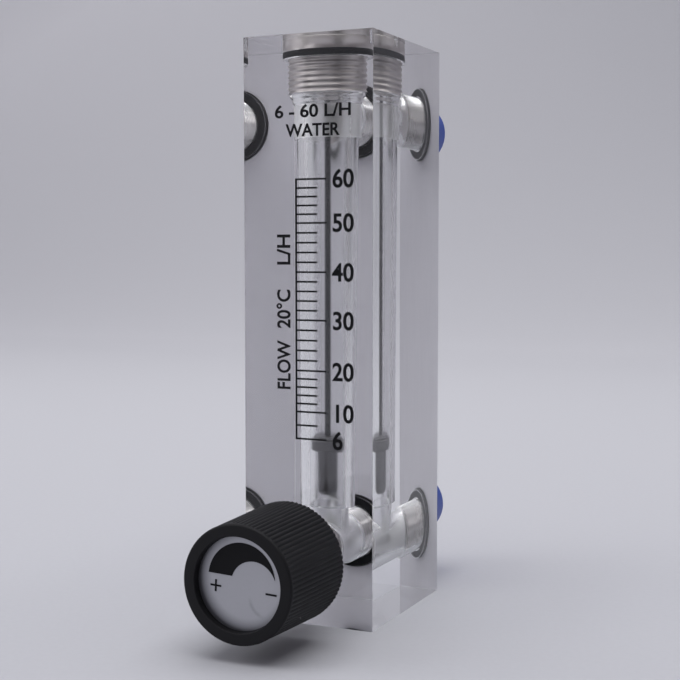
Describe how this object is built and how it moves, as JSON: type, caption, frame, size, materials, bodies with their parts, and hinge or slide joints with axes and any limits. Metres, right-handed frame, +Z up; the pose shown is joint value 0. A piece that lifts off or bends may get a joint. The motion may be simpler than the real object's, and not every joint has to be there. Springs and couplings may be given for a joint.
{
  "type": "rotameter",
  "caption": "Clear block panel rotameter with a guided float in a tapered bore, printed scale, needle valve knob in front and capped rear connections.",
  "frame": {"origin": "centre of the block's bottom face", "axes": "+Z up along the flow bore, -Y out of the front towards the knob, +X to the right seen from the front"},
  "size_m": [0.025, 0.0789, 0.104],
  "materials": {
    "clear_acrylic": "polished clear acrylic",
    "nickel_brass": "nickel plated, turned",
    "stainless": "turned stainless steel",
    "black_rubber": "smooth moulded rubber",
    "blue_plastic": "soft moulded polyethylene",
    "white_seat_plastic": "turned natural plastic",
    "black_plastic": "satin moulded plastic",
    "aluminium_plate": "matt anodised",
    "black_ink": "screen printed ink"
  },
  "bodies": {
    "meter_body": {"acrylic_body": "clear_acrylic", "top_plug": "nickel_brass", "top_plug_o_ring": "black_rubber", "guide_rod": "stainless", "rod_stop": "stainless", "inlet_adapter": "nickel_brass", "inlet_o_ring": "black_rubber", "outlet_adapter": "nickel_brass", "outlet_o_ring": "black_rubber", "valve_bonnet": "nickel_brass", "bonnet_o_ring": "black_rubber", "gland_nut": "nickel_brass", "valve_seat": "white_seat_plastic", "scale_marks": "black_ink"},
    "float_body": {"float": "stainless"},
    "stem_carriage": {"stem_o_ring": "black_rubber"},
    "valve_spindle": {"valve_stem": "stainless", "knob": "black_plastic", "knob_washer": "stainless", "knob_screw": "stainless", "knob_plate": "aluminium_plate", "knob_mark": "black_ink"},
    "inlet_cap": {"inlet_dust_cap": "blue_plastic"},
    "outlet_cap": {"outlet_dust_cap": "blue_plastic"}
  },
  "joints": [
    {"name": "float_rise", "type": "slide", "parent": "meter_body", "child": "float_body", "axis": [0, 0, 1], "range_m": [0, 0.0594]},
    {"name": "stem_lift", "type": "slide", "parent": "meter_body", "child": "stem_carriage", "axis": [0, -1, 0], "range_m": [0, 0.00225]},
    {"name": "knob_turn", "type": "hinge", "parent": "stem_carriage", "child": "valve_spindle", "pos_m": [0, -0.0325, 0.013], "axis": [0, -1, 0], "range_deg": [0, 1080]},
    {"name": "inlet_cap_pull", "type": "slide", "parent": "meter_body", "child": "inlet_cap", "axis": [0, 1, 0], "range_m": [0, 0.014]},
    {"name": "outlet_cap_pull", "type": "slide", "parent": "meter_body", "child": "outlet_cap", "axis": [0, 1, 0], "range_m": [0, 0.014]}
  ],
  "couplings": [
    {"joint": "stem_lift", "follows": "knob_turn", "m_per_rad": 0.00011937}
  ]
}
